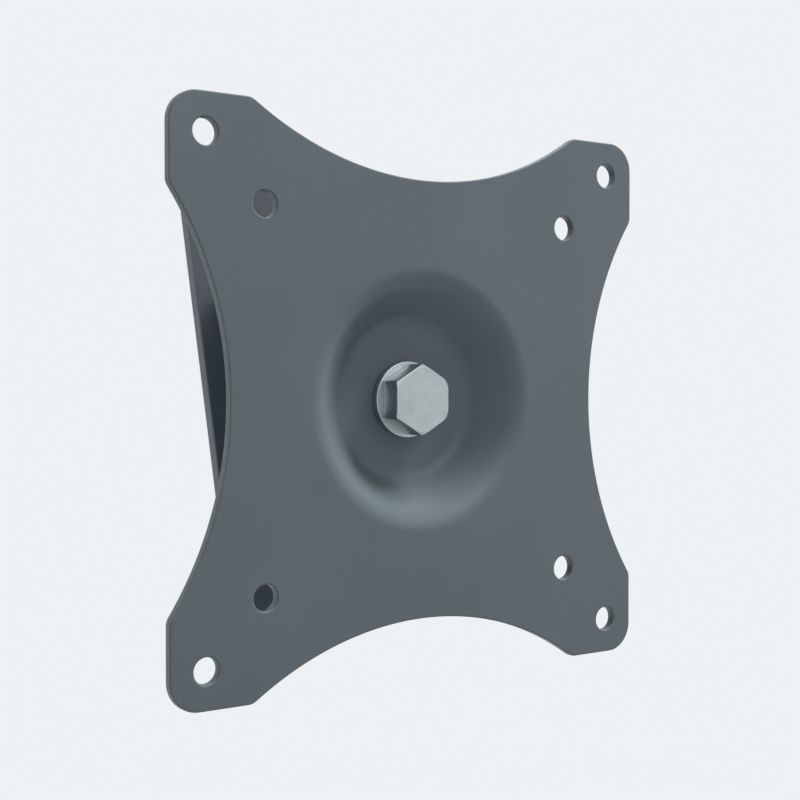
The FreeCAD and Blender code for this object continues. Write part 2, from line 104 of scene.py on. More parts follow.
head_frame = axes_matrix(across, -face_normal, head_up, face_point)
pivot_frame = Matrix.Translation(pivot_point)
tilted_frame = axes_matrix(across, -face_normal, head_up, pivot_point)
bolt_axis = axes_matrix(head_up, across, -face_normal, face_point)
pivot_axis = axes_matrix(upward, -inward, across, pivot_point)
lock_axis = axes_matrix(head_up, face_normal, across, lock_point)
bolt_axes = {"centre": bolt_axis, "pivot": pivot_axis, "lock": lock_axis}
lean = math.degrees(math.atan2(-head_up.y, head_up.z))
print("the head leans forward by", round(lean, 2), "degrees")

# %% [markdown]
# ## Paint
#
# All the sheet metal is powder coated in slate grey. Powder melts into a skin with a faint orange
# peel, so the colour is nearly even, and the light breaks up only in a very fine grain. A picture of
# paint could be wrapped round each piece, but its seams would show. Noise needs no wrapping: one
# slow noise shifts the tone a little, one fine noise sets the gloss and the bump.

# %% Colours as a picture shows them
# The curve between a picture's values and linear light
PICTURE_STEPS = 255
CURVE_KNEE = 0.04045
CURVE_SLOPE = 12.92
CURVE_SHIFT = 0.055
CURVE_POWER = 2.4


def srgb(red, green, blue):
    """A colour as a picture shows it, from 0 to 255, as the linear values that a shader takes."""
    linear = []
    for part in (red, green, blue):
        share = part / PICTURE_STEPS
        if share <= CURVE_KNEE:
            linear.append(share / CURVE_SLOPE)
        else:
            linear.append(((share + CURVE_SHIFT) / (1 + CURVE_SHIFT)) ** CURVE_POWER)
    return (*linear, 1.0)


SLATE_DARK = srgb(93, 104, 110)
SLATE_LIGHT = srgb(98, 108, 114)
print("slate in linear light:", [round(part, 3) for part in SLATE_DARK])

# %% Helpers for materials
# Nearly all of a noise lies between these values
NOISE_LOW = 0.3
NOISE_HIGH = 0.7


def new_material(name):
    """A node material, its nodes, its links and its shader."""
    material = bpy.data.materials.new(name)
    material.use_nodes = True
    tree = material.node_tree
    return material, tree.nodes, tree.links, tree.nodes["Principled BSDF"]


def noise(nodes, links, vector, scale, detail):
    """A noise texture on a vector."""
    node = nodes.new("ShaderNodeTexNoise")
    node.inputs["Scale"].default_value = scale
    node.inputs["Detail"].default_value = detail
    links.new(vector, node.inputs["Vector"])
    return node.outputs["Fac"]


def spread(nodes, links, value, low, high):
    """Spread the middle of a noise over a range."""
    node = nodes.new("ShaderNodeMapRange")
    node.inputs["From Min"].default_value = NOISE_LOW
    node.inputs["From Max"].default_value = NOISE_HIGH
    node.inputs["To Min"].default_value = low
    node.inputs["To Max"].default_value = high
    links.new(value, node.inputs["Value"])
    return node.outputs["Result"]


def blend_colours(nodes, links, value, first, second):
    """Mix two colours by a value."""
    node = nodes.new("ShaderNodeMix")
    node.data_type = "RGBA"
    node.inputs["A"].default_value = first
    node.inputs["B"].default_value = second
    links.new(value, node.inputs["Factor"])
    return node.outputs["Result"]


def bump(nodes, links, height, strength, distance):
    """A bump from a height."""
    node = nodes.new("ShaderNodeBump")
    node.inputs["Strength"].default_value = strength
    node.inputs["Distance"].default_value = distance
    links.new(height, node.inputs["Height"])
    return node.outputs["Normal"]


print("materials so far:", len(bpy.data.materials))

# %% Slate powder coat
# A noise has a scale and a detail, a bump has a strength and a height
SLATE_CLOUD = (45, 2)
PEEL_NOISE = (1300, 4)
PEEL_BUMP = (0.4, 0.08 * MM)
PAINT_ROUGHNESS = (0.35, 0.48)
PAINT_SPECULAR = 0.45


def make_powder_coat():
    material, nodes, links, shader = new_material("slate_powder_coat")
    place = nodes.new("ShaderNodeTexCoord").outputs["Object"]
    cloud = spread(nodes, links, noise(nodes, links, place, *SLATE_CLOUD), 0, 1)
    tone = blend_colours(nodes, links, cloud, SLATE_DARK, SLATE_LIGHT)
    links.new(tone, shader.inputs["Base Color"])
    peel = noise(nodes, links, place, *PEEL_NOISE)
    links.new(spread(nodes, links, peel, *PAINT_ROUGHNESS), shader.inputs["Roughness"])
    links.new(bump(nodes, links, peel, *PEEL_BUMP), shader.inputs["Normal"])
    shader.inputs["Specular IOR Level"].default_value = PAINT_SPECULAR
    return material


powder_coat = make_powder_coat()
print("made", powder_coat.name)

# %% [markdown]
# ## Zinc and nylon
#
# Bolts, nuts and washers are zinc plated: a pale, slightly blue metal with a satin face. Turned and
# stamped parts keep faint rings round their axis. A texture in space would have to be lined up with
# every bolt. Instead, each such mesh carries an attribute that holds its distance from the axis
# and its place along it, so the rings follow the piece itself.
# The friction discs are black nylon, and the rings in the lock nuts are natural nylon.

# %% Zinc plate
ZINC_DARK = srgb(176, 184, 186)
ZINC_LIGHT = srgb(190, 197, 197)
ZINC_CLOUD = (260, 3)
FROST_NOISE = (3200, 2)
RINGS_NOISE = (5.5, 2)
RINGS_BUMP = (0.12, 0.04 * MM)
ZINC_ROUGHNESS = (0.3, 0.42)


def make_zinc():
    material, nodes, links, shader = new_material("satin_zinc")
    place = nodes.new("ShaderNodeTexCoord").outputs["Object"]
    lathe = nodes.new("ShaderNodeAttribute")
    lathe.attribute_name = "lathe"
    cloud = spread(nodes, links, noise(nodes, links, place, *ZINC_CLOUD), 0, 1)
    tone = blend_colours(nodes, links, cloud, ZINC_DARK, ZINC_LIGHT)
    links.new(tone, shader.inputs["Base Color"])
    frost = noise(nodes, links, place, *FROST_NOISE)
    links.new(spread(nodes, links, frost, *ZINC_ROUGHNESS), shader.inputs["Roughness"])
    rings = noise(nodes, links, lathe.outputs["Vector"], *RINGS_NOISE)
    links.new(bump(nodes, links, rings, *RINGS_BUMP), shader.inputs["Normal"])
    shader.inputs["Metallic"].default_value = 1.0
    return material


zinc = make_zinc()
print("made", zinc.name)

# %% Nylon
GRAIN_NOISE = (1800, 3)
GRAIN_BUMP = (0.15, 0.04 * MM)
BLACK_DARK = srgb(30, 31, 33)
BLACK_LIGHT = srgb(40, 41, 43)
BLACK_ROUGHNESS = (0.5, 0.62)
NATURAL_DARK = srgb(222, 221, 212)
NATURAL_LIGHT = srgb(232, 231, 224)
NATURAL_ROUGHNESS = (0.42, 0.54)


def make_nylon(name, dark, light, roughness):
    material, nodes, links, shader = new_material(name)
    place = nodes.new("ShaderNodeTexCoord").outputs["Object"]
    grain = noise(nodes, links, place, *GRAIN_NOISE)
    tone = blend_colours(nodes, links, spread(nodes, links, grain, 0, 1), dark, light)
    links.new(tone, shader.inputs["Base Color"])
    links.new(spread(nodes, links, grain, *roughness), shader.inputs["Roughness"])
    links.new(bump(nodes, links, grain, *GRAIN_BUMP), shader.inputs["Normal"])
    return material


black_nylon = make_nylon("black_nylon", BLACK_DARK, BLACK_LIGHT, BLACK_ROUGHNESS)
white_nylon = make_nylon("natural_nylon", NATURAL_DARK, NATURAL_LIGHT, NATURAL_ROUGHNESS)
print("made", black_nylon.name, white_nylon.name)

# %% [markdown]
# ## Finished pieces
#
# Every piece ends the same way. Its mesh is moved to its place, so the object itself stays at the
# origin. Its normals are weighted by face area, so large flats stay flat and only the narrow
# rounded edges turn the light. A modifier can weight them too, but normals that are kept in the
# mesh need nothing more. Then the piece stands in for its solid and rides on the same body.

# %% Helpers that finish a piece
members = frame["record"]["behaviour"]["bodies"]
bodies = {node: body for body, nodes in members.items() for node in nodes}
MERGE = 1e-7
NO_LENGTH = 1e-21


def smooth_by_area(mesh):
    """Smooth normals that the largest faces round a point decide."""
    normals = np.zeros((len(mesh.vertices), 3))
    for face in mesh.polygons:
        normals[list(face.vertices)] += np.array(face.normal) * face.area
    lengths = np.linalg.norm(normals, axis=1, keepdims=True)
    normals /= np.maximum(lengths, NO_LENGTH)
    mesh.polygons.foreach_set("use_smooth", [True] * len(mesh.polygons))
    mesh.normals_split_custom_set_from_vertices(normals.tolist())


def lathe_marks(mesh):
    """Keep each point's distance from the Z axis and its height, in millimetres."""
    marks = mesh.attributes.new("lathe", "FLOAT_VECTOR", "POINT")
    for point, mark in zip(mesh.vertices, marks.data):
        mark.vector = (math.hypot(point.co.x, point.co.y) / MM, point.co.z / MM, 0)


def close_shape(shape, name):
    """Merge doubles, turn every face outwards and hand the shape over as a mesh."""
    bmesh.ops.remove_doubles(shape, verts=shape.verts, dist=MERGE)
    bmesh.ops.recalc_face_normals(shape, faces=shape.faces)
    mesh = bpy.data.meshes.new(name)
    shape.to_mesh(mesh)
    shape.free()
    return mesh


def set_down(name, mesh, place, material, body):
    """Set a mesh down at its place, on the body that carries it."""
    mesh.transform(place)
    mesh.update()
    smooth_by_area(mesh)
    mesh.materials.clear()
    mesh.materials.append(material)
    piece = bpy.data.objects.new(name, mesh)
    bpy.context.scene.collection.objects.link(piece)
    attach(piece, body)
    return piece


def stand_in(node, mesh, place, material):
    """Set a mesh down as the finished form of a solid."""
    piece = set_down(f"{node}_finished", mesh, place, material, bodies[node])
    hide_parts(node)


print("pieces on each body:", {body: len(nodes) for body, nodes in members.items()})

# %% Helpers that measure a solid
def points_about(node, place):
    """A solid's points, seen from one of the axes."""
    back = place.inverted()
    return np.array([back @ vertex.co for vertex in frame["nodes"][node].data.vertices])


def measure(node, place):
    """How far a solid reaches along an axis, and its smallest and largest radius round it."""
    points = points_about(node, place)
    heights = points[:, 2]
    radii = np.hypot(points[:, 0], points[:, 1])
    return float(heights.min()), float(heights.max()), float(radii.min()), float(radii.max())


plate_reach = measure("face_plate", bolt_axis)
print("face plate round its bolt in mm:", [round(v / MM, 2) for v in plate_reach])

# %% [markdown]
# ## Washers, sleeves and discs
#
# A washer is a rounded rectangle carried round a circle, and so is a spacer sleeve, a friction disc
# or the nylon ring in a lock nut. Each could be a cylinder with a hole cut in it and its edges
# bevelled, but one small tree of Geometry Nodes draws them all. Its inputs are the sizes, and those
# are read from the solids, so every ring fits exactly where it was placed.
# The spring washer is the same ring with its profile tipped, which makes it a shallow cone.

# %% Helpers for node trees
def new_tree(name, inputs):
    """An empty geometry tree with named inputs, and its input and output nodes."""
    tree = bpy.data.node_groups.new(name, "GeometryNodeTree")
    tree.interface.new_socket("Geometry", in_out="INPUT", socket_type="NodeSocketGeometry")
    for label, kind in inputs:
        tree.interface.new_socket(label, in_out="INPUT", socket_type=kind)
    tree.interface.new_socket("Geometry", in_out="OUTPUT", socket_type="NodeSocketGeometry")
    return tree, tree.nodes.new("NodeGroupInput"), tree.nodes.new("NodeGroupOutput")


def math_node(tree, operation, first, second):
    """A math node on two sockets or numbers."""
    node = tree.nodes.new("ShaderNodeMath")
    node.operation = operation
    for socket, value in zip(node.inputs, (first, second)):
        if isinstance(value, float):
            socket.default_value = value
        else:
            tree.links.new(value, socket)
    return node.outputs[0]


def close_tree(tree, given, result, geometry):
    """End a tree in real geometry with its material set."""
    realize = tree.nodes.new("GeometryNodeRealizeInstances")
    paint = tree.nodes.new("GeometryNodeSetMaterial")
    tree.links.new(geometry, realize.inputs["Geometry"])
    tree.links.new(realize.outputs["Geometry"], paint.inputs["Geometry"])
    tree.links.new(given.outputs["Material"], paint.inputs["Material"])
    tree.links.new(paint.outputs["Geometry"], result.inputs["Geometry"])


def grow(tree, values):
    """Run a tree on an empty mesh and return what it made as a closed shape."""
    seed = bpy.data.objects.new("seed", bpy.data.meshes.new("seed"))
    bpy.context.scene.collection.objects.link(seed)
    modifier = seed.modifiers.new("grow", "NODES")
    modifier.node_group = tree
    for item in tree.interface.items_tree:
        if item.in_out == "INPUT" and item.name in values:
            modifier[item.identifier] = values[item.name]
    graph = bpy.context.evaluated_depsgraph_get()
    mesh = bpy.data.meshes.new_from_object(seed.evaluated_get(graph))
    seed.modifiers.remove(modifier)
    bpy.data.objects.remove(seed)
    shape = bmesh.new()
    shape.from_mesh(mesh)
    return close_shape(shape, tree.name)


print("trees so far:", len(bpy.data.node_groups))

# %% The ring tree
RING_STEPS = 96
CORNER_STEPS = 3


def make_ring_tree():
    number = "NodeSocketFloat"
    tree, given, result = new_tree("turned_ring", [
        ("Inner Radius", number), ("Outer Radius", number), ("Length", number),
        ("Edge Round", number), ("Slope", number), ("Material", "NodeSocketMaterial"),
    ])
    links = tree.links
    inner = given.outputs["Inner Radius"]
    outer = given.outputs["Outer Radius"]
    path = tree.nodes.new("GeometryNodeCurvePrimitiveCircle")
    path.inputs["Resolution"].default_value = RING_STEPS
    middle = math_node(tree, "MULTIPLY", math_node(tree, "ADD", inner, outer), 0.5)
    links.new(middle, path.inputs["Radius"])
    profile = tree.nodes.new("GeometryNodeCurvePrimitiveQuadrilateral")
    links.new(math_node(tree, "SUBTRACT", outer, inner), profile.inputs["Width"])
    links.new(given.outputs["Length"], profile.inputs["Height"])
    corner = tree.nodes.new("GeometryNodeFilletCurve")
    corner.mode = "POLY"
    corner.inputs["Count"].default_value = CORNER_STEPS
    links.new(profile.outputs["Curve"], corner.inputs["Curve"])
    links.new(given.outputs["Edge Round"], corner.inputs["Radius"])
    turn = tree.nodes.new("ShaderNodeCombineXYZ")
    links.new(given.outputs["Slope"], turn.inputs["Z"])
    tip = tree.nodes.new("GeometryNodeTransform")
    links.new(corner.outputs["Curve"], tip.inputs["Geometry"])
    links.new(turn.outputs["Vector"], tip.inputs["Rotation"])
    sweep = tree.nodes.new("GeometryNodeCurveToMesh")
    links.new(path.outputs["Curve"], sweep.inputs["Curve"])
    links.new(tip.outputs["Geometry"], sweep.inputs["Profile Curve"])
    close_tree(tree, given, result, sweep.outputs["Mesh"])
    return tree


ring_tree = make_ring_tree()
print("tree:", ring_tree.name, "with", len(ring_tree.nodes), "nodes")

# %% Every ring on the mount
STAMPED_EDGE = 0.22 * MM
MOULDED_EDGE = 0.15 * MM
SPRING_THICK = 0.8 * MM


def place_ring(node, place, material, edge, rise=0.0):
    """Draw one ring to its solid's size. A rise makes it a cone that is higher at its hole."""
    low, high, inner, outer = measure(node, place)
    slope = math.atan2(rise, outer - inner)
    narrow = (high - low - rise) / 2 * math.sin(slope)
    mesh = grow(ring_tree, {
        "Inner Radius": inner + narrow, "Outer Radius": outer - narrow,
        "Length": (high - low - rise) * math.cos(slope),
        "Edge Round": edge, "Slope": slope, "Material": material,
    })
    mesh.transform(Matrix.Translation((0, 0, (low + high) / 2)))
    lathe_marks(mesh)
    stand_in(node, mesh, place, material)


for node in ("centre_washer", "rear_washer"):
    place_ring(node, bolt_axis, zinc, STAMPED_EDGE)
place_ring("friction_disc", bolt_axis, black_nylon, MOULDED_EDGE)
spring_low, spring_high, *_ = measure("disc_spring", bolt_axis)
place_ring("disc_spring", bolt_axis, zinc, MOULDED_EDGE, spring_high - spring_low - SPRING_THICK)
for bolt in ("pivot", "lock"):
    for piece in ("head_washer", "nut_washer", "sleeve"):
        place_ring(f"{bolt}_{piece}", bolt_axes[bolt], zinc, STAMPED_EDGE)
    for piece in ("friction_left", "friction_right"):
        place_ring(f"{bolt}_{piece}", bolt_axes[bolt], black_nylon, MOULDED_EDGE)
for bolt, place in bolt_axes.items():
    place_ring(f"{bolt}_nut_insert", place, white_nylon, MOULDED_EDGE)

# %% [markdown]
# ## Threads
#
# A screw thread is one ridge that winds along a spiral. A bump could hint at it, but the bolt's
# outline would stay smooth, so the ridge is real here. Geometry Nodes draw the spiral, sweep a small
# triangle along it and let the ridge run out at both ends. The curve's normals are told to stay
# level, because otherwise the triangle would slowly twist on its way.

# %% The thread tree
THREAD_STEPS = 36
THREAD_SIDES = 3
RUN_OUT = 24.0
THINNEST = 0.02


def make_thread_tree():
    number = "NodeSocketFloat"
    tree, given, result = new_tree("screw_thread", [
        ("Radius", number), ("Turns", number), ("Height", number), ("Ridge", number),
        ("Material", "NodeSocketMaterial"),
    ])
    links = tree.links
    spiral = tree.nodes.new("GeometryNodeCurveSpiral")
    spiral.inputs["Resolution"].default_value = THREAD_STEPS
    links.new(given.outputs["Turns"], spiral.inputs["Rotations"])
    links.new(given.outputs["Radius"], spiral.inputs["Start Radius"])
    links.new(given.outputs["Radius"], spiral.inputs["End Radius"])
    links.new(given.outputs["Height"], spiral.inputs["Height"])
    level = tree.nodes.new("GeometryNodeSetCurveNormal")
    level.mode = "Z_UP"
    links.new(spiral.outputs["Curve"], level.inputs["Curve"])
    along = tree.nodes.new("GeometryNodeSplineParameter").outputs["Factor"]
    nearest = math_node(tree, "MINIMUM", along, math_node(tree, "SUBTRACT", 1.0, along))
    run_out = math_node(tree, "MINIMUM", math_node(tree, "MULTIPLY", nearest, RUN_OUT), 1.0)
    profile = tree.nodes.new("GeometryNodeCurvePrimitiveCircle")
    profile.inputs["Resolution"].default_value = THREAD_SIDES
    links.new(given.outputs["Ridge"], profile.inputs["Radius"])
    sweep = tree.nodes.new("GeometryNodeCurveToMesh")
    sweep.inputs["Fill Caps"].default_value = True
    links.new(level.outputs["Curve"], sweep.inputs["Curve"])
    links.new(profile.outputs["Curve"], sweep.inputs["Profile Curve"])
    links.new(math_node(tree, "MAXIMUM", run_out, THINNEST), sweep.inputs["Scale"])
    close_tree(tree, given, result, sweep.outputs["Mesh"])
    return tree


thread_tree = make_thread_tree()
print("tree:", thread_tree.name, "with", len(thread_tree.nodes), "nodes")

# %% [markdown]
# ## Turned profiles
#
# Bolts and nuts are profiles turned about an axis. A hex head is a turned profile too, if its
# radius is allowed to change with the angle: the flats pull the radius in, and the cone on top
# then cuts them in the curved lines that every real bolt head shows. So one function turns a
# profile, and asks for that profile again at each angle.

# %% Turn a profile
EDGE_STEPS = 3
CORNER_SHARE = 0.45


def soften(profile, edge, closed):
    """Round each corner of a profile. A corner may bring its own radius as a third number."""
    count = len(profile)
    soft = []
    for i, corner in enumerate(profile):
        here = Vector(corner[:2])
        if not closed and i in (0, count - 1):
            soft.append(here)
            continue
        radius = corner[2] if len(corner) == 3 else edge
        back = Vector(profile[i - 1][:2]) - here
        ahead = Vector(profile[(i + 1) % count][:2]) - here
        start = here + back.normalized() * min(radius, back.length * CORNER_SHARE)
        end = here + ahead.normalized() * min(radius, ahead.length * CORNER_SHARE)
        for step in range(EDGE_STEPS + 1):
            share = step / EDGE_STEPS
            soft.append(start * (1 - share) ** 2 + here * 2 * share * (1 - share) + end * share ** 2)
    return soft


def turn_profile(profile_at, angles, edge, closed):
    """A shape whose profile of (radius, height) may change from one angle to the next."""
    shape = bmesh.new()
    columns = []
    for angle in angles:
        points = soften(profile_at(angle), edge, closed)
        way = Vector((math.cos(angle), math.sin(angle)))
        columns.append([shape.verts.new((*(way * point.x), point.y)) for point in points])
    rows = len(columns[0])
    for column, following in zip(columns, columns[1:] + columns[:1]):
        for j in range(rows if closed else rows - 1):
            k = (j + 1) % rows
            shape.faces.new((column[j], column[k], following[k], following[j]))
    return shape


SQUARE = [(0, 0), (1, 0), (1, 1), (0, 1)]
print("points on a square with soft corners:", len(soften(SQUARE, CORNER_SHARE, True)))

# %% [markdown]
# ## Hex bolts
#
# The corners of a hex are never razor sharp, so its radius stops a little short of them. The shank
# keeps its full width up to the nut. From there it is turned down to the root of the thread, and the
# ridge winds round it out to the full width again.

# %% A hexagon as a radius
HEX_STEPS = 144
HEX_ANGLES = [2 * math.pi * step / HEX_STEPS for step in range(HEX_STEPS)]
SIXTH = math.pi / 3
WORN_CORNER = 0.985


def hex_radius(angle, flats):
    """Radius of a hexagon with a corner on its first axis, its corners a little worn."""
    from_flat = angle % SIXTH - SIXTH / 2
    corner = flats / 2 / math.cos(SIXTH / 2)
    return min(flats / 2 / math.cos(from_flat), corner * WORN_CORNER)


print("corners of a hexagon to its flats:", round(hex_radius(0, 1) / hex_radius(SIXTH / 2, 1), 3))

# %% Bolts with their threads
CHAMFER_SLOPE = math.tan(SIXTH / 2)
FACE_SHARE = 1.04
FASTENER_EDGE = 0.16 * MM
PITCH = {"centre": 1.25 * MM, "pivot": 1.0 * MM, "lock": 1.0 * MM}
THREAD_DEPTH = 0.6
RIDGE_SHARE = 2 / 3


def place_bolt(bolt, place, nut_seat):
    """A hex bolt: a chamfered head, a plain shank, and a thread from the nut to the end."""
    node = f"{bolt}_bolt"
    low, high, _, corner = measure(node, place)
    points = points_about(node, place)
    radii = np.hypot(points[:, 0], points[:, 1])
    shank = float(radii[points[:, 2] > nut_seat].max())
    seat = float(points[radii > shank + FASTENER_EDGE, 2].max())
    flats = corner * 2 * math.cos(SIXTH / 2)
    face = flats / 2 * FACE_SHARE
    depth = PITCH[bolt] * THREAD_DEPTH
    root = shank - depth

    def profile(angle):
        wide = hex_radius(angle, flats)
        flat = min(face, wide - FASTENER_EDGE)
        return [
            (0, low), (flat, low), (wide, low + (wide - flat) * CHAMFER_SLOPE), (wide, seat),
            (shank, seat), (shank, nut_seat), (root, nut_seat + depth), (root, high - depth),
            (root - depth / 2, high), (0, high),
        ]

    shape = turn_profile(profile, HEX_ANGLES, FASTENER_EDGE, False)
    length = high - depth - nut_seat
    thread = grow(thread_tree, {
        "Radius": shank - depth * RIDGE_SHARE, "Turns": length / PITCH[bolt], "Height": length,
        "Ridge": depth * RIDGE_SHARE, "Material": zinc,
    })
    thread.transform(Matrix.Translation((0, 0, nut_seat)))
    mesh = close_shape(shape, node)
    both = bmesh.new()
    both.from_mesh(mesh)
    both.from_mesh(thread)
    both.to_mesh(mesh)
    both.free()
    lathe_marks(mesh)
    stand_in(node, mesh, place, zinc)
    print(node, "flats in mm:", round(flats / MM, 2), "thread in mm:", round(shank * 2 / MM, 2))


for bolt, place in bolt_axes.items():
    place_bolt(bolt, place, measure(f"{bolt}_nut", place)[0])

# %% [markdown]
# ## Lock nuts
#
# A lock nut is a hex nut whose far end is a round collar, rolled over a nylon ring. A hex prism
# joined to a ring would show a seam. Turned as one profile it has none, and because the profile is
# closed round the bore, the nut is a closed ring. The nylon's place is read from its solid, and
# the collar wraps it.

# %% Nuts
COLLAR_WALL = 0.3 * MM
COLLAR_ROUND = 1.0 * MM
COLLAR_LIP = 0.6 * MM
COUNTERSINK = 0.5 * MM


def place_nut(bolt, place):
    node = f"{bolt}_nut"
    low, high, bore, corner = measure(node, place)
    ring_low, ring_high, _, ring_out = measure(f"{bolt}_nut_insert", place)
    flats = corner * 2 * math.cos(SIXTH / 2)
    face = flats / 2 * FACE_SHARE
    collar = flats / 2 - COLLAR_WALL
    lip = bore + COLLAR_LIP

    def profile(angle):
        wide = hex_radius(angle, flats)
        flat = min(face, wide - FASTENER_EDGE)
        return [
            (bore + COUNTERSINK, low), (flat, low), (wide, low + (wide - flat) * CHAMFER_SLOPE),
            (wide, ring_low - (wide - collar) * CHAMFER_SLOPE), (collar, ring_low),
            (collar, high, COLLAR_ROUND), (lip, high), (lip, ring_high), (ring_out, ring_high),
            (ring_out, ring_low), (bore, ring_low), (bore, low + COUNTERSINK),
        ]

    mesh = close_shape(turn_profile(profile, HEX_ANGLES, FASTENER_EDGE, True), node)
    lathe_marks(mesh)
    stand_in(node, mesh, place, zinc)
    print(node, "height in mm:", round((high - low) / MM, 2), "collar in mm:", round(collar * 2 / MM, 2))


for bolt, place in bolt_axes.items():
    place_nut(bolt, place)

# %% [markdown]
# ## Sheet metal
#
# A cut sheet has two flat faces and an edge that paint has made soft. It could be a block with its
# holes cut by booleans and a bevel over it, but a bevel trips over the short edges that a cut
# leaves. So a sheet is drawn flat: an outline, the outlines of its holes, and a rounded rim that
# joins front to back round each of them. Every outline point carries the direction that leads away
# from the metal, so the rim knows which way to curve. A function then lifts the flat drawing to
# where the sheet is, folded or not.

# %% Outlines
HOLE_STEPS = 36


def arc(middle, radius, start, end, steps, away=1):
    """Points on an arc, each with the direction away from the metal. Angles are in degrees."""
    points = []
    for step in range(steps + 1):
        angle = math.radians(start + (end - start) * step / steps)
        way = Vector((math.cos(angle), math.sin(angle)))
        points.append((Vector(middle) + way * radius, way * away))
    return points


def round_hole(middle, radius, steps=HOLE_STEPS):
    """The outline of a round hole."""
    return arc(middle, radius, 0, 360, steps, -1)[:-1]


def rounded(corners, steps):
    """An open run of corners (across, up, radius), with an arc at each of its inner ones."""
    points = []
    for before, corner, after in zip(corners, corners[1:], corners[2:]):
        here = Vector(corner[:2])
        arriving = (here - Vector(before[:2])).normalized()
        leaving = (Vector(after[:2]) - here).normalized()
        turn = math.degrees(math.atan2(arriving.cross(leaving), arriving.dot(leaving)))
        reach = corner[2] / math.cos(math.radians(turn / 2))
        middle = here + (leaving - arriving).normalized() * reach
        side = math.copysign(1, turn)
        first = math.degrees(math.atan2(-arriving.x * side, arriving.y * side))
        points += arc(middle, corner[2], first, first + turn, steps, side)
    return points


print("points round a hole:", len(round_hole((0, 0), MM)))

# %% Rims and faces
SHEET_EDGE = 0.35 * MM
RIM_STEPS = 4


def rim_loops(outline, thick):
    """Loops that lead from the front face round a soft edge to the back face."""
    front = []
    for step in range(RIM_STEPS + 1):
        angle = math.pi / 2 * step / RIM_STEPS
        inset = SHEET_EDGE * (1 - math.sin(angle))
        depth = SHEET_EDGE * (1 - math.cos(angle))
        front.append([(*(point - away * inset), depth) for point, away in outline])
    back = [[(u, v, thick - depth) for u, v, depth in loop] for loop in reversed(front)]
    return front + back


def skin(shape, loops):
    """Join loops of points with faces, and return the points of the first and the last loop."""
    rows = [[shape.verts.new(point) for point in loop] for loop in loops]
    for row, following in zip(rows, rows[1:]):
        for i in range(len(row)):
            k = (i + 1) % len(row)
            shape.faces.new((row[i], row[k], following[k], following[i]))
    return rows[0], rows[-1]


def fill(shape, rows):
    """Fill the flat face between closed rows of points: an outer one, and one for each hole."""
    edges = []
    for row in rows:
        for first, second in zip(row, row[1:] + row[:1]):
            edges.append(shape.edges.get((first, second)) or shape.edges.new((first, second)))
    bmesh.ops.triangle_fill(shape, edges=edges, use_beauty=True, normal=(0, 0, 1))


def lift(shape, where):
    """Move every point of a flat drawing to where a function puts it."""
    for point in shape.verts:
        point.co = where(*point.co)


print("loops from front to back:", len(rim_loops(round_hole((0, 0), MM), MM)))

# %% [markdown]
# ## Face plate
#
# The face plate is the piece that everyone sees. Its sides are scalloped by four large arcs with a
# small blend at each end, and eight screw holes sit in two squares. The dish in its middle is
# pressed from the same sheet. It could be pushed into a fine grid of faces, but here its section is
# carried round a circle, so front and back run parallel round two bends, and the bright and dark
# crescents in it come from those bends alone.

# %% Sizes of the face plate
PLATE_HALF = 57.5 * MM
PLATE_THICK = 2.0 * MM
PLATE_CORNER = 6.0 * MM
WAIST_HALF = 45.0 * MM
SCALLOP_ROUND = 71.0 * MM
SCALLOP_BLEND = 3.0 * MM
HOLE_SQUARES = (50.0 * MM, 37.5 * MM)
SCREW_HOLE = 2.6 * MM
DISH_MOUTH = 24.5 * MM
DISH_BASE = 16.5 * MM
DISH_DEPTH = 7.8 * MM
LIP_ROUND = 7.0 * MM
FLOOR_ROUND = 5.0 * MM
DISH_LAND = 1.0 * MM
CENTRE_BORE = 4.1 * MM
# How far a bend of radius 1 reaches from its corner along the sheet
BEND_REACH = math.tan(math.atan2(DISH_DEPTH, DISH_MOUTH - DISH_BASE) / 2)
DISH_RIM = DISH_MOUTH + LIP_ROUND * BEND_REACH + DISH_LAND
print("dish rim across in mm:", round(DISH_RIM * 2 / MM, 2))

# %% Outline of the face plate
PLATE_CORNER_STEPS = 12
BLEND_STEPS = 6
SCALLOP_STEPS = 48


def plate_outline():
    """The scalloped square, anticlockwise from its right corner."""
    scallop_up = WAIST_HALF + SCALLOP_ROUND
    blend_up = PLATE_HALF - SCALLOP_BLEND
    blend_across = math.sqrt((SCALLOP_ROUND + SCALLOP_BLEND) ** 2 - (scallop_up - blend_up) ** 2)
    meet = math.degrees(math.atan2(scallop_up - blend_up, blend_across))
    corner = PLATE_HALF - PLATE_CORNER
    side = arc((corner, corner), PLATE_CORNER, 0, 90, PLATE_CORNER_STEPS)
    side += arc((blend_across, blend_up), SCALLOP_BLEND, 90, 180 - meet, BLEND_STEPS)
    side += arc((0, scallop_up), SCALLOP_ROUND, -meet, meet - 180, SCALLOP_STEPS, -1)[1:]
    side += arc((-blend_across, blend_up), SCALLOP_BLEND, meet, 90, BLEND_STEPS)[1:]
    outline = []
    for quarter in range(4):
        turn = Matrix.Rotation(quarter * math.pi / 2, 2)
        outline += [(turn @ point, turn @ away) for point, away in side]
    return outline


print("points round the face plate:", len(plate_outline()))

# %% Section of the dish
DISH_STEPS = 144
BEND_STEPS = 10


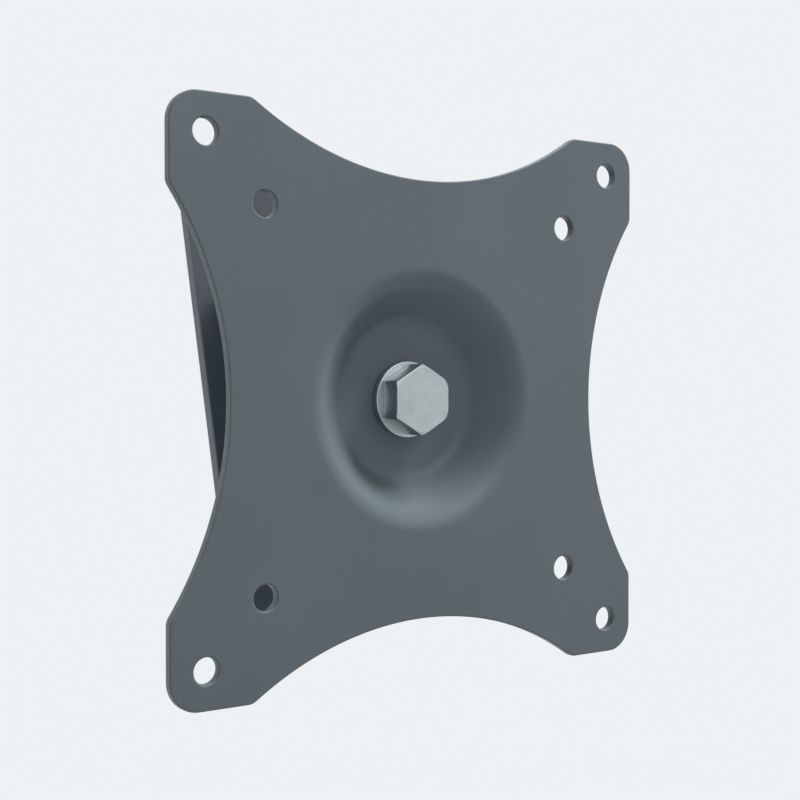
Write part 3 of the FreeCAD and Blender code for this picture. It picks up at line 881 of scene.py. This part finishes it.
def dish_section():
    """The dish's section as (radius, depth), from the front of its land, round its hole, to its back."""
    outside = DISH_RIM + DISH_LAND
    back_mouth = DISH_MOUTH + PLATE_THICK * BEND_REACH
    back_base = DISH_BASE + PLATE_THICK * BEND_REACH
    back_depth = DISH_DEPTH + PLATE_THICK
    front = rounded([
        (outside, 0), (DISH_MOUTH, 0, LIP_ROUND), (DISH_BASE, DISH_DEPTH, FLOOR_ROUND),
        (CENTRE_BORE, DISH_DEPTH),
    ], BEND_STEPS)
    back = rounded([
        (CENTRE_BORE, back_depth), (back_base, back_depth, FLOOR_ROUND + PLATE_THICK),
        (back_mouth, PLATE_THICK, LIP_ROUND - PLATE_THICK), (outside, PLATE_THICK),
    ], BEND_STEPS)
    hole = [(Vector((CENTRE_BORE, DISH_DEPTH)), Vector((-1, 0)))]
    section = [(DISH_RIM, 0)] + [tuple(point) for point, away in front]
    section += [(loop[0][0], loop[0][1] + loop[0][2]) for loop in rim_loops(hole, PLATE_THICK)]
    section += [tuple(point) for point, away in back] + [(DISH_RIM, PLATE_THICK)]
    return section


print("points on the dish's section:", len(dish_section()))

# %% Build the face plate
def place_face_plate():
    shape = bmesh.new()
    outlines = [plate_outline()]
    for square in HOLE_SQUARES:
        for side in (-square, square):
            outlines += [round_hole((side, end), SCREW_HOLE) for end in (-square, square)]
    rims = [skin(shape, rim_loops(outline, PLATE_THICK)) for outline in outlines]
    loops = []
    for radius, depth in dish_section():
        loops.append([(*point, depth) for point, away in round_hole((0, 0), radius, DISH_STEPS)])
    rims.append(skin(shape, loops))
    fill(shape, [front for front, back in rims])
    fill(shape, [back for front, back in rims])
    lift(shape, lambda u, v, depth: (u, depth, v))
    mesh = close_shape(shape, "face_plate")
    stand_in("face_plate", mesh, head_frame, powder_coat)
    print("face plate triangles:", sum(len(face.vertices) - 2 for face in mesh.polygons))


place_face_plate()

# %% [markdown]
# ## Wall plate
#
# The plate on the wall is a plain rectangle with round corners and four screw holes. A bevelled cube
# would do for the rectangle, but not for the holes, so it is drawn with an outline and rims like
# the face plate. Its width, height and thickness are read from its solid.

# %% Build the wall plate
WALL_CORNER = 6.0 * MM
WALL_CORNER_STEPS = 10
WALL_HOLE = 3.25 * MM
WALL_HOLE_ACROSS = 14.0 * MM
WALL_HOLE_UP = 40.0 * MM


def place_wall_plate():
    low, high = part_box("wall_plate")
    thick = high.y - low.y
    side = high.x - WALL_CORNER
    end = high.z - WALL_CORNER
    outline = []
    for quarter, middle in enumerate(((side, end), (-side, end), (-side, -end), (side, -end))):
        start = 90 * quarter
        outline += arc(middle, WALL_CORNER, start, start + 90, WALL_CORNER_STEPS)
    outlines = [outline]
    for across_hole in (-WALL_HOLE_ACROSS, WALL_HOLE_ACROSS):
        for up_hole in (-WALL_HOLE_UP, WALL_HOLE_UP):
            outlines.append(round_hole((across_hole, up_hole), WALL_HOLE))
    shape = bmesh.new()
    rims = [skin(shape, rim_loops(item, thick)) for item in outlines]
    fill(shape, [front for front, back in rims])
    fill(shape, [back for front, back in rims])
    lift(shape, lambda u, v, depth: (u, low.y + depth, v))
    stand_in("wall_plate", close_shape(shape, "wall_plate"), Matrix.Identity(4), powder_coat)
    print("wall plate in mm:", [round(v / MM, 1) for v in high - low])


place_wall_plate()

# %% [markdown]
# ## Folded channels
#
# The yoke and the bracket are each one sheet with two bends. A press brake starts from a flat blank,
# and so does this step: the blank is drawn with its holes, and folded by a function that leaves the
# web flat, wraps the bends round an arc and turns the arms square. Only the strips in the bends need
# many faces, the rest stays flat.

# %% Fold a blank
FOLD_STEPS = 10


def make_fold(half_width, thick, bend, web_face, way):
    """Where the bends of a blank lie, and the function that takes a point of it to its place.

    Depth counts inwards from the outside of the U. The arms run from the web along Y, forwards
    or backwards as the way is -1 or 1."""
    middle = bend + thick / 2
    web_half = half_width - thick - bend
    bend_end = web_half + middle * math.pi / 2
    bend_y = web_face + way * (thick + bend)

    def place_point(u, v, depth):
        side = math.copysign(1, u)
        run = abs(u)
        radius = bend + thick - depth
        if run <= web_half:
            return Vector((u, bend_y - way * radius, v))
        if run < bend_end:
            angle = (run - web_half) / middle
            out = web_half + radius * math.sin(angle)
            return Vector((side * out, bend_y - way * radius * math.cos(angle), v))
        return Vector((side * (web_half + radius), bend_y + way * (run - bend_end), v))

    return web_half, bend_end, bend_y, place_point


print("strips in a bend:", FOLD_STEPS)

# %% Build a channel from its side outline
def edge_height(y, first, second):
    """Height of the straight edge between two corners (y, z) at one y."""
    share = (y - first[0]) / (second[0] - first[0])
    return first[1] + (second[1] - first[1]) * share


def mirrored(outline):
    """The same outline on the blank's other arm."""
    flip = Matrix(((-1, 0), (0, 1)))
    return [(flip @ point, flip @ away) for point, away in reversed(outline)]


def place_channel(node, place, sizes, way, arm, arm_holes, web_holes):
    """A folded sheet. Its arm is an open run of corners (y, z, radius), from the web's lower corner
    round to its upper one. Its holes are outlines about the pivot's place on the blank."""
    half_width, thick, bend, web_face = sizes
    web_half, bend_end, bend_y, place_point = make_fold(half_width, thick, bend, web_face, way)
    pivot = bend_end - way * bend_y
    lower = []
    upper = []
    for step in range(FOLD_STEPS + 1):
        run = web_half + (bend_end - web_half) * step / FOLD_STEPS
        y = place_point(run, 0, thick / 2).y
        lower.append((Vector((run, edge_height(y, arm[0], arm[1]))), Vector((0, -1))))
        upper.append((Vector((run, edge_height(y, arm[-1], arm[-2]))), Vector((0, 1))))
    flat_arm = [(pivot + way * y, z, radius) for y, z, radius in arm]
    right = lower + rounded(flat_arm, BEND_STEPS) + upper[::-1]
    shape = bmesh.new()
    rims = skin(shape, rim_loops(right + mirrored(right), thick))
    right_holes = [[(point + Vector((pivot, 0)), away) for point, away in hole] for hole in arm_holes]
    right_rims = [skin(shape, rim_loops(hole, thick)) for hole in right_holes]
    left_rims = [skin(shape, rim_loops(mirrored(hole), thick)) for hole in right_holes]
    web_rims = [skin(shape, rim_loops(hole, thick)) for hole in web_holes]
    count = len(right)
    for face in (0, 1):
        right_row = rims[face][:count]
        left_row = rims[face][:count - 1:-1]
        for row, holes in ((right_row, right_rims), (left_row, left_rims)):
            for i in range(FOLD_STEPS):
                shape.faces.new((row[i], row[i + 1], row[-2 - i], row[-1 - i]))
            fill(shape, [row[FOLD_STEPS:count - FOLD_STEPS]] + [rim[face] for rim in holes])
        web_row = [right_row[0], right_row[-1], left_row[-1], left_row[0]]
        fill(shape, [web_row] + [rim[face] for rim in web_rims])
    lift(shape, place_point)
    stand_in(node, close_shape(shape, node), place, powder_coat)
    print(node, "blank across in mm:", round(2 * max(point.x for point, away in right) / MM, 1))


# %% [markdown]
# ## Yoke and bracket
#
# The yoke's arms carry the pivot bolt and a slot that curves round it, in which the lock bolt slides
# when the head is tilted. The bracket fits inside. Both outlines are measured from the pivot, because
# that is the one place that the two share in every pose.

# %% Sizes of the channels
SHEET_THICK = 2.5 * MM
SHEET_BEND = 2.5 * MM
SIDE_BORE = 3.1 * MM
SIDE_EYE = 3.2 * MM
CENTRE_EYE = 4.2 * MM
LOCK_RADIUS = 17.0 * MM
SLOT_HALF = 3.2 * MM
SLOT_STEPS = 16
HALF_TRAVEL = 15.0
# Corners of an arm in millimetres: along Y, up, and the radius there
YOKE_ARM = [(16.5, -24, 0), (-12, -14, 11), (-12, 26, 12), (16.5, 30, 0)]
BRACKET_ARM = [
    (-20.1, -22, 0), (10, -10, 5), (10, 0, 10), (7.5, 24.5, 5), (-7.5, 24.5, 5), (-20.1, 22, 0),
]


def from_millimetres(corners):
    """The same corners in metres."""
    return [tuple(value * MM for value in corner) for corner in corners]


def curved_slot():
    """A slot with round ends that curves about the pivot."""
    first = 90 - HALF_TRAVEL
    last = 90 + HALF_TRAVEL
    ends = [point for point, away in arc((0, 0), LOCK_RADIUS, first, last, 1)]
    slot = arc((0, 0), LOCK_RADIUS + SLOT_HALF, first, last, SLOT_STEPS, -1)
    slot += arc(ends[1], SLOT_HALF, last, last + 180, SLOT_STEPS, -1)[1:]
    slot += arc((0, 0), LOCK_RADIUS - SLOT_HALF, last, first, SLOT_STEPS)[1:]
    slot += arc(ends[0], SLOT_HALF, first - 180, first, SLOT_STEPS, -1)[1:-1]
    return slot


print("points round a slot:", len(curved_slot()))

# %% Build the yoke and the bracket
yoke_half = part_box("wall_yoke")[1].x
yoke_sizes = (yoke_half, SHEET_THICK, SHEET_BEND, YOKE_ARM[0][0] * MM)
bracket_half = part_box("tilt_bracket")[1].x
bracket_sizes = (bracket_half, SHEET_THICK, SHEET_BEND, BRACKET_ARM[0][0] * MM)
pivot_hole = round_hole((0, 0), SIDE_BORE)
place_channel(
    "wall_yoke", pivot_frame, yoke_sizes, -1, from_millimetres(YOKE_ARM),
    [pivot_hole, curved_slot()], [],
)
place_channel(
    "tilt_bracket", tilted_frame, bracket_sizes, 1, from_millimetres(BRACKET_ARM),
    [pivot_hole, round_hole((0, LOCK_RADIUS), SIDE_EYE)], [round_hole((0, 0), CENTRE_EYE)],
)

# %% [markdown]
# ## Weld beads
#
# The yoke is welded to its plate before both are painted. Two short beads on each side fill the groove
# beside the bend, and a welder lays each of them as a row of small overlapping ripples. They could
# be sculpted, but then a change of length would mean sculpting them again. Geometry Nodes sweep a
# circle up a line instead, and let the ripples and the round ends change its size on the way. Most
# of a bead lies inside the metal, and only its face shows.

# %% The bead tree
BEAD_STEPS = 120
BEAD_SIDES = 24


def make_bead_tree():
    number = "NodeSocketFloat"
    tree, given, result = new_tree("weld_bead", [
        ("Length", number), ("Radius", number), ("Ripples", number), ("Ripple Depth", number),
        ("Material", "NodeSocketMaterial"),
    ])
    links = tree.links
    top = tree.nodes.new("ShaderNodeCombineXYZ")
    links.new(given.outputs["Length"], top.inputs["Z"])
    line = tree.nodes.new("GeometryNodeCurvePrimitiveLine")
    links.new(top.outputs["Vector"], line.inputs["End"])
    path = tree.nodes.new("GeometryNodeResampleCurve")
    path.inputs["Count"].default_value = BEAD_STEPS
    links.new(line.outputs["Curve"], path.inputs["Curve"])
    along = tree.nodes.new("GeometryNodeSplineParameter").outputs["Factor"]
    count = math_node(tree, "MULTIPLY", along, given.outputs["Ripples"])
    wave = math_node(tree, "SINE", math_node(tree, "MULTIPLY", count, math.pi), 0.0)
    valley = math_node(tree, "SUBTRACT", 1.0, math_node(tree, "ABSOLUTE", wave, 0.0))
    depth = math_node(tree, "MULTIPLY", valley, given.outputs["Ripple Depth"])
    ripple = math_node(tree, "SUBTRACT", 1.0, depth)
    nearest = math_node(tree, "MINIMUM", along, math_node(tree, "SUBTRACT", 1.0, along))
    span = math_node(tree, "DIVIDE", given.outputs["Length"], given.outputs["Radius"])
    into = math_node(tree, "MINIMUM", math_node(tree, "MULTIPLY", nearest, span), 1.0)
    under = math_node(tree, "MULTIPLY", into, math_node(tree, "SUBTRACT", 2.0, into))
    dome = math_node(tree, "SQRT", under, 0.0)
    profile = tree.nodes.new("GeometryNodeCurvePrimitiveCircle")
    profile.inputs["Resolution"].default_value = BEAD_SIDES
    links.new(given.outputs["Radius"], profile.inputs["Radius"])
    sweep = tree.nodes.new("GeometryNodeCurveToMesh")
    sweep.inputs["Fill Caps"].default_value = True
    links.new(path.outputs["Curve"], sweep.inputs["Curve"])
    links.new(profile.outputs["Curve"], sweep.inputs["Profile Curve"])
    size = math_node(tree, "MAXIMUM", math_node(tree, "MULTIPLY", dome, ripple), THINNEST)
    links.new(size, sweep.inputs["Scale"])
    close_tree(tree, given, result, sweep.outputs["Mesh"])
    return tree


bead_tree = make_bead_tree()
print("tree:", bead_tree.name, "with", len(bead_tree.nodes), "nodes")

# %% Weld the yoke to its plate
BEAD_LENGTH = 14.0 * MM
BEAD_RADIUS = 2.0 * MM
BEAD_SINK = 0.9 * MM
BEAD_PITCH = 1.4 * MM
BEAD_RIPPLE = 0.12
BEAD_STARTS = (-21.0 * MM, 13.0 * MM)

foot_x = yoke_half - BEAD_SINK
foot_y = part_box("wall_plate")[0].y - BEAD_SINK
feet = [(side * foot_x, foot_y, pivot_point.z + start) for side in (-1, 1) for start in BEAD_STARTS]
weld_shape = bmesh.new()
for foot in feet:
    bead = grow(bead_tree, {
        "Length": BEAD_LENGTH, "Radius": BEAD_RADIUS, "Ripples": BEAD_LENGTH / BEAD_PITCH,
        "Ripple Depth": BEAD_RIPPLE, "Material": powder_coat,
    })
    bead.transform(Matrix.Translation(foot))
    weld_shape.from_mesh(bead)
weld_mesh = close_shape(weld_shape, "yoke_welds")
set_down("yoke_welds", weld_mesh, Matrix.Identity(4), powder_coat, "wall")
print("weld beads:", len(feet))

# %% [markdown]
# ## Camera
#
# The photograph is taken from the front left, level with the middle of the leaning plate. The
# camera stands at that point of the plate's own frame and keeps the plate's upright as its own, so
# the plate looks upright although the head leans. A longer lens from the same point only
# crops the view, so the perspective stays.

# %% Place the camera
CAMERA_PLACE = Vector((-165.3, -229.9, 4.07)) * MM
CAMERA_AIM = Vector((-6.5, 0, 0)) * MM
LENS = 62.0

camera = bpy.data.objects.new("camera", bpy.data.cameras.new("camera"))
bpy.context.scene.collection.objects.link(camera)
camera_point = head_frame @ CAMERA_PLACE
look = (head_frame @ CAMERA_AIM - camera_point).normalized()
right_hand = look.cross(head_up).normalized()
camera.matrix_world = axes_matrix(right_hand, right_hand.cross(look), -look, camera_point)
camera.data.lens = LENS
camera.data.clip_start = MM
bpy.context.scene.camera = camera
print("camera stands at, in mm:", [round(v / MM, 1) for v in camera_point])

# %% [markdown]
# ## Light
#
# The key is a soft lamp in front. Another one skims along the face plate from the upper right: it
# hardly touches the flat, but it lights the lower left lip of the dish, as in the photograph. Light
# linking keeps it to the plate, the way a snoot would. A lamp on each side and one behind keep
# the yoke and the bolts readable from everywhere. Only the key shows up as a reflection, because
# a lamp that satin paint mirrors at a low angle would make its edges look like bare steel.

# %% Lamps
# Each lamp's place and width in metres, and its power in watts
LAMPS = {
    "key": ((0.2, -0.85, 0.25), 0.4, 0.88),
    "skim": ((0.45, -0.285, 0.63), 0.4, 18.0),
    "left": ((-0.8, 0.0, 0.45), 0.6, 1.4),
    "right": ((0.8, 0.1, 0.4), 0.6, 1.8),
    "behind": ((0.2, 0.72, 0.5), 0.6, 4.5),
}


def soft_lamp(name, place, size, power):
    """A round soft lamp that points at the middle of the face plate."""
    lamp = bpy.data.lights.new(name, "AREA")
    lamp.shape = "DISK"
    lamp.size = size
    lamp.energy = power
    holder = bpy.data.objects.new(name, lamp)
    holder.visible_camera = False
    bpy.context.scene.collection.objects.link(holder)
    toward = (face_point - Vector(place)).normalized()
    turn = toward.to_track_quat("-Z", "Y").to_matrix().to_4x4()
    holder.matrix_world = Matrix.Translation(place) @ turn
    return holder


lamps = {name: soft_lamp(name, *values) for name, values in LAMPS.items()}
plate_alone = bpy.data.collections.new("plate_alone")
plate_alone.objects.link(bpy.data.objects["face_plate_finished"])
lamps["skim"].light_linking.receiver_collection = plate_alone
for name, lamp in lamps.items():
    lamp.visible_glossy = name == "key"
print("lamps:", list(lamps))

# %% [markdown]
# ## Floor and surroundings
#
# The surroundings are plain and pale. What the camera and shiny metal see of the world is nearly
# white, while the light that it sheds is weaker. The floor is a plain pale disc. Half of its tone
# comes from the lamps, so it takes the mount's shadow, and the other half is the world's own
# tone. Further out it fades into that tone altogether, so no horizon shows.

# %% World
PALE = srgb(238, 241, 243)
AMBIENT = 0.42


def pale_strength(nodes, links):
    """1 for what is seen directly or in a shiny surface, and the ambient level for light."""
    path = nodes.new("ShaderNodeLightPath")
    seen = path.outputs["Is Camera Ray"]
    for name in ("Is Glossy Ray", "Is Transmission Ray"):
        either = nodes.new("ShaderNodeMath")
        either.operation = "MAXIMUM"
        links.new(seen, either.inputs[0])
        links.new(path.outputs[name], either.inputs[1])
        seen = either.outputs[0]
    level = nodes.new("ShaderNodeMapRange")
    level.inputs["To Min"].default_value = AMBIENT
    links.new(seen, level.inputs["Value"])
    return level.outputs["Result"]


world = bpy.data.worlds.new("pale_room")
world.use_nodes = True
room = world.node_tree
sky = room.nodes["Background"]
sky.inputs["Color"].default_value = PALE
room.links.new(pale_strength(room.nodes, room.links), sky.inputs["Strength"])
bpy.context.scene.world = world
bpy.context.scene.view_settings.view_transform = "Standard"
print("world:", world.name, "with", len(room.nodes), "nodes")

# %% Floor paint
FLOOR_PAINT = srgb(222, 225, 227)
FLOOR_ROUGHNESS = 0.9
FLOOR_GLOW = 0.5
FADE_START = 0.35
FADE_END = 1.2


def make_floor_paint():
    material, nodes, links, shader = new_material("pale_floor")
    shader.inputs["Base Color"].default_value = FLOOR_PAINT
    shader.inputs["Roughness"].default_value = FLOOR_ROUGHNESS
    place = nodes.new("ShaderNodeTexCoord").outputs["Object"]
    distance = nodes.new("ShaderNodeVectorMath")
    distance.operation = "LENGTH"
    links.new(place, distance.inputs[0])
    fade = nodes.new("ShaderNodeMapRange")
    fade.interpolation_type = "SMOOTHSTEP"
    fade.inputs["From Min"].default_value = FADE_START
    fade.inputs["From Max"].default_value = FADE_END
    fade.inputs["To Min"].default_value = FLOOR_GLOW
    links.new(distance.outputs["Value"], fade.inputs["Value"])
    glow = nodes.new("ShaderNodeEmission")
    glow.inputs["Color"].default_value = PALE
    links.new(pale_strength(nodes, links), glow.inputs["Strength"])
    mix = nodes.new("ShaderNodeMixShader")
    links.new(fade.outputs["Result"], mix.inputs["Fac"])
    links.new(shader.outputs["BSDF"], mix.inputs[1])
    links.new(glow.outputs["Emission"], mix.inputs[2])
    links.new(mix.outputs["Shader"], nodes["Material Output"].inputs["Surface"])
    return material


pale_floor = make_floor_paint()
print("made", pale_floor.name)

# %% Floor
FLOOR_DROP = 0.3
FLOOR_RADIUS = 6.0
FLOOR_STEPS = 96

floor_shape = bmesh.new()
bmesh.ops.create_circle(floor_shape, cap_ends=True, segments=FLOOR_STEPS, radius=FLOOR_RADIUS)
floor_mesh = bpy.data.meshes.new("floor")
floor_shape.to_mesh(floor_mesh)
floor_shape.free()
floor_mesh.materials.append(pale_floor)
floor = bpy.data.objects.new("floor", floor_mesh)
floor.location.z = -FLOOR_DROP
bpy.context.scene.collection.objects.link(floor)
print("floor at", -FLOOR_DROP, "m")
